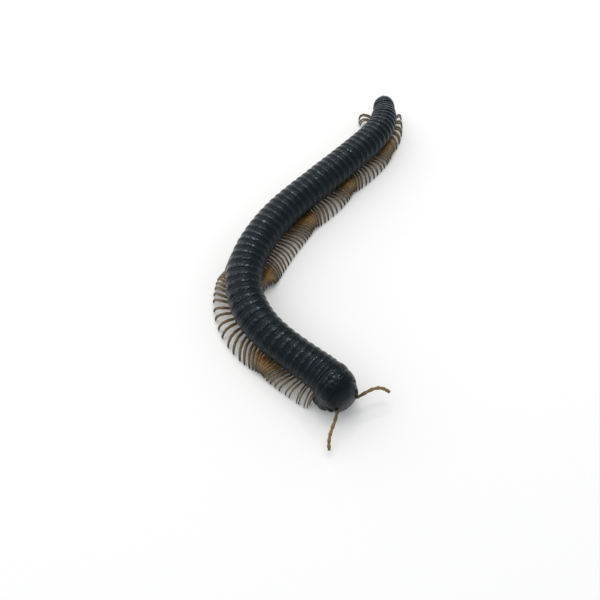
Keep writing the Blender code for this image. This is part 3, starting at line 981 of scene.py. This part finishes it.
# How each article points, in degrees: out from straight ahead, and up.
LEFT_ANTENNA = ((74, 9), (80, 20), (80, 10), (72, -12), (60, -32), (48, -44), (42, -48))
RIGHT_ANTENNA = ((45, -5), (51, -10), (57, -16), (54, -23), (44, -30), (32, -34), (26, -38))
# Share of an article's length and of the antenna's thickness.
ARTICLE_SWELLS = ((0.0, 0.62), (0.05, 0.70), (0.16, 0.74), (0.34, 0.80), (0.58, 0.91), (0.80, 1.0),
                  (0.92, 0.98), (0.98, 0.86), (1.0, 0.70))
ARTICLE_SIDES = 16
# How far an article reaches into the one before, as a share of its length.
ARTICLE_SUNK = 0.06
LAST_ARTICLE_SHARE = 0.86
HAIR_SEED = 23
HAIRS_ON_ARTICLE = 9
HAIR_SPAN = (0.6, 0.97)
HAIR_LENGTH = 0.38 * MM
HAIR_RADIUS = 0.018 * MM
TIP_CONES = 4
TIP_CONE_OUT = 0.12 * MM
TIP_CONE_LENGTH = 0.16 * MM
TIP_CONE_RADIUS = 0.06 * MM


def antenna_joints(way, side):
    """The joints of one antenna, from its socket to its tip, in their final place."""
    forward, right, height = ANTENNA_ROOT
    point = place(*head_point(forward, side * right, height))
    ahead = heading_at(-forward * MM) + math.pi
    joints = [point]
    for length, (out, up) in zip(ARTICLE_LENGTHS, way):
        bearing = ahead - side * math.radians(out)
        rise = math.radians(up)
        level = math.cos(rise)
        step = Vector((math.cos(bearing) * level, math.sin(bearing) * level, math.sin(rise)))
        point = point + step * length * MM
        joints.append(point)
    return joints


def add_article(bm, mesh, start, end, radius, first_share, last_share):
    """Copies the article between two joints, and writes how far along the antenna it is."""
    verts = copy_of(bm, mesh)
    turn = (end - start).to_track_quat("X", "Z").to_matrix()
    length = (end - start).length
    for vert in verts:
        vert.co = start + turn @ Vector((vert.co.x * length, vert.co.y * radius, vert.co.z * radius))
    for entry in limb_map_at(bm, verts):
        entry.uv.x = first_share + entry.uv.x * (last_share - first_share)


def add_hair(bm, spot, way, length, radius):
    """A fine hair: a cone of a few sides that tapers to a point."""
    turn = way.to_track_quat("Z", "Y").to_matrix().to_4x4()
    matrix = Matrix.Translation(spot + way.normalized() * length / 2) @ turn
    bmesh.ops.create_cone(bm, cap_ends=True, segments=4, radius1=radius, radius2=radius * 0.1,
                          depth=length, matrix=matrix)


# %% Make the antennae
article_mesh = bpy.data.meshes.new("one_article")
one_article = straight_rod(ARTICLE_SWELLS, ARTICLE_SIDES)
one_article.to_mesh(article_mesh)
one_article.free()
chance_hairs = random.Random(HAIR_SEED)
articles = len(ARTICLE_LENGTHS)
for (side, word), way in zip(SIDES, (RIGHT_ANTENNA, LEFT_ANTENNA)):
    joints = antenna_joints(way, side)
    antenna = bmesh.new()
    antenna.loops.layers.uv.new(LIMB_MAP)
    for i, (start, end) in enumerate(zip(joints, joints[1:])):
        thickness = ANTENNA_RADIUS * (LAST_ARTICLE_SHARE if i == articles - 1 else 1.0)
        sunk = start.lerp(end, -ARTICLE_SUNK)
        add_article(antenna, article_mesh, sunk, end, thickness, i / articles, (i + 1) / articles)
        along = (end - start).normalized()
        across = along.cross(Vector((0, 0, 1))).normalized()
        for _ in range(HAIRS_ON_ARTICLE):
            turn = Matrix.Rotation(chance_hairs.uniform(0, math.tau), 3, along)
            out = turn @ across
            spot = start.lerp(end, chance_hairs.uniform(*HAIR_SPAN)) + out * thickness * 0.9
            length = HAIR_LENGTH * chance_hairs.uniform(0.6, 1.0)
            add_hair(antenna, spot, out * 0.7 + along, length, HAIR_RADIUS)
    tip = joints[-1]
    for number in range(TIP_CONES):
        out = Matrix.Rotation(number * math.tau / TIP_CONES, 3, along) @ across
        add_hair(antenna, tip + out * TIP_CONE_OUT, along + out * 0.1, TIP_CONE_LENGTH, TIP_CONE_RADIUS)
    finish_piece("feeler_" + word, antenna, [ANTENNA], ["antenna_" + word])
bpy.data.meshes.remove(article_mesh)

# %% [markdown]
# ## The tail
#
# Behind the last legless rings comes the telson, a smooth cap. Two valves close it like a pair of
# shells, with raised lips where they meet. The cap is spun like the rings, and each valve is half
# an ellipsoid, cut along the slit with a plane.

# %% Make the telson and its valves
# Millimetres behind the last ring, and share of the radius there.
TELSON_OUTLINE = ((-0.30, 0.90), (-0.05, 0.945), (0.25, 0.968), (0.60, 0.976), (1.00, 0.968), (1.40, 0.945),
                  (1.90, 0.905), (2.40, 0.845), (2.80, 0.77), (3.15, 0.68), (3.42, 0.59), (3.52, 0.545),
                  (3.52, 0.50), (3.35, 0.47))
TELSON_SIDES = 60
VALVE_LENGTH = 1.5 * MM
VALVE_SHARE = 0.555
VALVE_LIP = 0.10 * MM
VALVE_LIP_OUT = 0.2 * MM
SLIT = 0.12 * MM
tail_start = RING_START[-1]
tail_girth = girth_at(tail_start)
telson_rows = [(tail_start + back * MM, share * tail_girth) for back, share in TELSON_OUTLINE]
telson = turn_profile(telson_rows, TELSON_SIDES)
press_belly(telson)
write_map(telson, SHELL_MAP, lambda co: 61.5 + 0.08 * (co[0] - tail_start) / MM, down_the_flank)
lay_along(telson)
finish_piece("telson_cap", telson, [COLLAR], ["telson"])

valve_radius = VALVE_SHARE * tail_girth
valve_middle = Vector((tail_start + TELSON_OUTLINE[-3][0] * MM, 0, BELLY_HEIGHT + tail_girth))
for side, word in SIDES:
    valve = bmesh.new()
    bmesh.ops.create_uvsphere(valve, u_segments=48, v_segments=28, radius=1.0)
    bmesh.ops.scale(valve, vec=(VALVE_LENGTH, valve_radius, valve_radius), verts=valve.verts)
    geom = valve.verts[:] + valve.edges[:] + valve.faces[:]
    bmesh.ops.bisect_plane(valve, geom=geom, plane_co=(0, side * SLIT / 2, 0), plane_no=(0, side, 0),
                           clear_inner=True)
    bmesh.ops.holes_fill(valve, edges=[edge for edge in valve.edges if edge.is_boundary], sides=0)
    bmesh.ops.recalc_face_normals(valve, faces=valve.faces[:])
    for vert in valve.verts:
        out = vert.co.normalized()
        vert.co += out * VALVE_LIP * math.exp(-((abs(vert.co.y) - VALVE_LIP_OUT) / VALVE_LIP_OUT) ** 2)
        vert.co += valve_middle
    map_as_hoop(valve, 61.6, slope=0.0)
    lay_along(valve)
    finish_piece("tail_valve_" + word, valve, [COLLAR], ["valve_" + word])

# %% [markdown]
# ## The floor, the light and the camera
#
# The animal stands on a plain pale floor. A very large soft lamp behind it at the left gives the
# body its round shading and its shadow, a ring of small lamps above it puts the specks on its back,
# and a pale cool world fills in evenly. The camera looks down steeply from in front of the head, as
# in the photograph.

# %% Floor and lights
FLOOR_WIDTH = 3.0
WORLD_COLOUR = (0.90, 0.97, 1.0, 1.0)
WORLD_STRENGTH = 0.70
SOFT_LAMP_SPOT = (-0.66, 0.40, 0.72)
SOFT_LAMP_SIZE = 1.9
SOFT_LAMP_POWER = 7.2
RING_LIGHT_MIDDLE = (0.05, 0.24, 0.54)
RING_LIGHT_RADIUS = 0.15
RING_LIGHT_LAMPS = 12
RING_LIGHT_POWER = 0.95
RING_LIGHT_SIZE = 0.030
FLOOR_PALE = (0.93, 0.895, 0.875, 1.0)
floor_bm = bmesh.new()
bmesh.ops.create_grid(floor_bm, x_segments=1, y_segments=1, size=FLOOR_WIDTH / 2)
floor_mesh = bpy.data.meshes.new("floor")
floor_bm.to_mesh(floor_mesh)
floor_bm.free()
floor_object = bpy.data.objects.new("floor", floor_mesh)
bpy.context.scene.collection.objects.link(floor_object)
floor_paint = Paint("floor_white", Base_Color=FLOOR_PALE, Roughness=0.9, Specular_IOR_Level=0.1)
floor_mesh.materials.append(floor_paint.material)

world = bpy.data.worlds.new("studio")
world.use_nodes = True
world.node_tree.nodes["Background"].inputs["Color"].default_value = WORLD_COLOUR
world.node_tree.nodes["Background"].inputs["Strength"].default_value = WORLD_STRENGTH
bpy.context.scene.world = world


def add_lamp(name, spot, size, power):
    """A round lamp at a spot, turned to the middle of the animal."""
    lamp = bpy.data.lights.new(name, "AREA")
    lamp.shape = "DISK"
    lamp.size = size
    lamp.energy = power
    lamp_object = bpy.data.objects.new(name, lamp)
    lamp_object.location = spot
    lamp_object.rotation_euler = (-Vector(spot)).to_track_quat("-Z", "Y").to_euler()
    bpy.context.scene.collection.objects.link(lamp_object)


add_lamp("soft_left", SOFT_LAMP_SPOT, SOFT_LAMP_SIZE, SOFT_LAMP_POWER)
for number in range(RING_LIGHT_LAMPS):
    turn = math.tau * number / RING_LIGHT_LAMPS
    x, y, z = RING_LIGHT_MIDDLE
    spot = (x + RING_LIGHT_RADIUS * math.cos(turn), y + RING_LIGHT_RADIUS * math.sin(turn), z)
    add_lamp(f"ring_light_{number}", spot, RING_LIGHT_SIZE, RING_LIGHT_POWER / RING_LIGHT_LAMPS)
bpy.context.scene.view_settings.view_transform = "Standard"

# %% Camera
CAMERA_PITCH_FROM_DOWN = 34.0
LENS = 36.0
SENSOR = 36.0
NEAREST = 5 * MM
CAMERA_FROM_START = (-7.47 * MM, -69.41 * MM, 146.6 * MM)
camera_data = bpy.data.cameras.new("camera")
camera_data.lens = LENS
camera_data.sensor_width = SENSOR
camera_data.clip_start = NEAREST
camera = bpy.data.objects.new("camera", camera_data)
camera.location = (START[0] + CAMERA_FROM_START[0], START[1] + CAMERA_FROM_START[1], CAMERA_FROM_START[2])
camera.rotation_euler = (math.radians(CAMERA_PITCH_FROM_DOWN), 0, 0)
bpy.context.scene.collection.objects.link(camera)
bpy.context.scene.camera = camera
